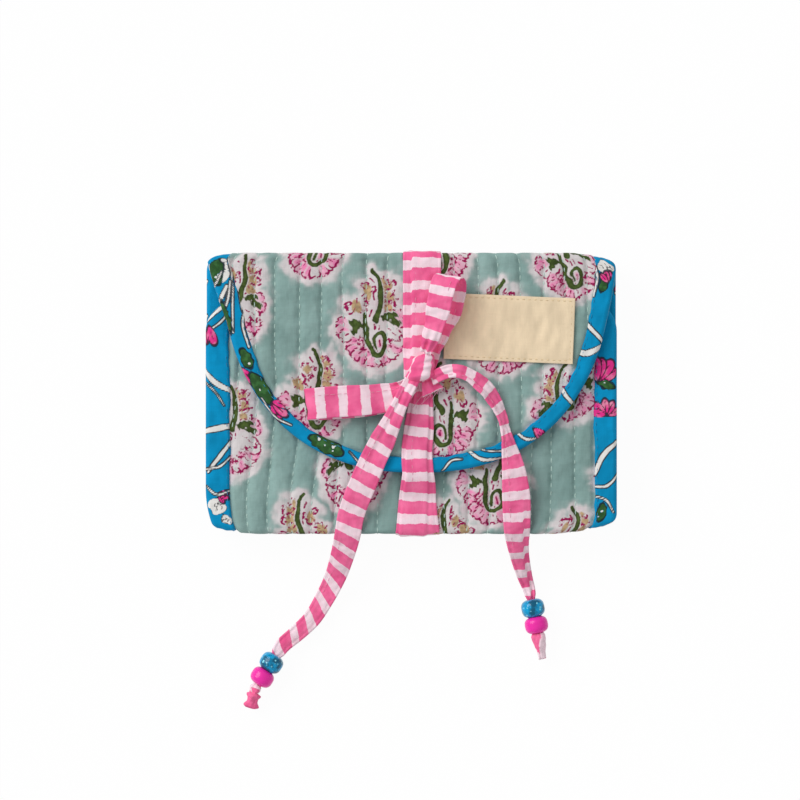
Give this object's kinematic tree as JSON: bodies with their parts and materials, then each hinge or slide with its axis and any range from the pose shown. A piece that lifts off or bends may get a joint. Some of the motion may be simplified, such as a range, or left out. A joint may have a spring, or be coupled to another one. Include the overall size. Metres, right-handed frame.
{
  "type": "quilted jewelry organizer",
  "caption": "Tri-fold quilted cloth case with bound edges and a round-ended flap, tied shut with a striped cloth bow whose beaded tails hang past the front edge.",
  "frame": {"origin": "centre of the closed case's underside, on the surface that it lies on, without the tie's tails and beads", "axes": "+X along the folds to the right, +Y towards the top fold that the flap hangs from, +Z out of the front"},
  "size_m": [0.169, 0.1873, 0.0382],
  "materials": {
    "sage_print": "block-printed quilted cotton, sage ground",
    "blue_print": "block-printed cotton, cerulean ground",
    "lining_cotton": "plain cream cotton",
    "label_cotton": "cream twill, bare",
    "tie_stripe": "pink and off-white striped cotton",
    "bead_blue": "translucent glossy blue",
    "bead_pink": "opaque glossy pink",
    "zip_tape": "woven zip tape",
    "zip_coil": "nylon coil",
    "zip_metal": "antique brass"
  },
  "bodies": {
    "back_case": {"back_cover": "sage_print", "top_spine": "sage_print", "bottom_spine": "sage_print", "back_lining": "lining_cotton", "back_binding_left": "blue_print", "back_binding_right": "blue_print", "tie_back_band": "tie_stripe", "back_pocket": "blue_print", "back_zip_tape_upper": "zip_tape", "back_zip_tape_lower": "zip_tape", "back_zip_coil": "zip_coil", "back_zip_stop_left": "zip_metal", "back_zip_stop_right": "zip_metal", "ring_roll_anchor": "blue_print", "snap_stud": "zip_metal"},
    "flap": {"flap_cover": "sage_print", "flap_lining": "lining_cotton", "flap_binding": "blue_print", "label": "label_cotton", "tie_upper_band": "tie_stripe", "tie_lower_band": "tie_stripe", "tie_knot": "tie_stripe", "tie_loop_up": "tie_stripe", "tie_loop_left": "tie_stripe", "tie_stub": "tie_stripe"},
    "front_leaf": {"front_cover": "sage_print", "front_lining": "lining_cotton", "front_binding": "blue_print", "front_pocket": "blue_print", "front_zip_tape_upper": "zip_tape", "front_zip_tape_lower": "zip_tape", "front_zip_coil": "zip_coil", "front_zip_stop_left": "zip_metal", "front_zip_stop_right": "zip_metal"},
    "ring_roll": {"ring_roll": "blue_print", "snap_cap": "zip_metal"},
    "tail_left": {"tie_tail_left": "tie_stripe"},
    "tail_right": {"tie_tail_right": "tie_stripe"},
    "bead_blue_left": {"bead_blue_left": "bead_blue"},
    "bead_pink_left": {"bead_pink_left": "bead_pink"},
    "bead_blue_right": {"bead_blue_right": "bead_blue"},
    "bead_pink_right": {"bead_pink_right": "bead_pink"},
    "back_zip_slider": {"back_zip_slider": "zip_metal"},
    "back_zip_pull": {"back_zip_pull": "zip_metal"},
    "front_zip_slider": {"front_zip_slider": "zip_metal"},
    "front_zip_pull": {"front_zip_pull": "zip_metal"}
  },
  "joints": [
    {"name": "flap_fold", "type": "hinge", "parent": "back_case", "child": "flap", "pos_m": [0, 0.0575, 0.0243], "axis": [-1, 0, 0], "range_deg": [0, 180]},
    {"name": "front_leaf_fold", "type": "hinge", "parent": "back_case", "child": "front_leaf", "pos_m": [0, -0.0575, 0.0196], "axis": [1, 0, 0], "range_deg": [0, 30.1]},
    {"name": "tail_left_swing", "type": "hinge", "parent": "flap", "child": "tail_left", "pos_m": [-0.0015, 0.0064, 0.0306], "axis": [-1, 0, 0], "range_deg": [0, 16.1]},
    {"name": "tail_right_swing", "type": "hinge", "parent": "flap", "child": "tail_right", "pos_m": [0.0097, 0.007, 0.0294], "axis": [-1, 0, 0], "range_deg": [0, 16.1]},
    {"name": "bead_blue_left_spin", "type": "hinge", "parent": "tail_left", "child": "bead_blue_left", "pos_m": [-0.05837, -0.11102, 0.0048], "axis": [-0.5357, -0.8444, 0], "continuous": true},
    {"name": "bead_pink_left_spin", "type": "hinge", "parent": "tail_left", "child": "bead_pink_left", "pos_m": [-0.06214, -0.11695, 0.0048], "axis": [-0.5357, -0.8444, 0], "continuous": true},
    {"name": "bead_blue_right_spin", "type": "hinge", "parent": "tail_right", "child": "bead_blue_right", "pos_m": [0.0495, -0.08852, 0.0048], "axis": [0.204, -0.979, 0], "continuous": true},
    {"name": "bead_pink_right_spin", "type": "hinge", "parent": "tail_right", "child": "bead_pink_right", "pos_m": [0.05092, -0.09538, 0.0048], "axis": [0.204, -0.979, 0], "continuous": true},
    {"name": "back_zip_slide", "type": "slide", "parent": "back_case", "child": "back_zip_slider", "axis": [-1, 0, 0], "range_m": [0, 0.1072]},
    {"name": "back_zip_pull_tilt", "type": "hinge", "parent": "back_zip_slider", "child": "back_zip_pull", "pos_m": [0.0536, 0.008, 0.0086], "axis": [0, -1, 0], "range_deg": [0, 20]},
    {"name": "front_zip_slide", "type": "slide", "parent": "front_leaf", "child": "front_zip_slider", "axis": [-1, 0, 0], "range_m": [0, 0.1072]},
    {"name": "front_zip_pull_tilt", "type": "hinge", "parent": "front_zip_slider", "child": "front_zip_pull", "pos_m": [0.0536, -0.014, 0.011], "axis": [0, 1, 0], "range_deg": [0, 20]},
    {"name": "ring_roll_lift", "type": "hinge", "parent": "back_case", "child": "ring_roll", "pos_m": [-0.059, 0.034, 0.0089], "axis": [0, -1, 0], "range_deg": [0, 1.2]}
  ],
  "couplings": [
    {"joint": "front_leaf_fold", "follows": "flap_fold", "ratio": 0.16667},
    {"joint": "tail_left_swing", "follows": "flap_fold", "ratio": 0.088889},
    {"joint": "tail_right_swing", "follows": "flap_fold", "ratio": 0.088889}
  ]
}
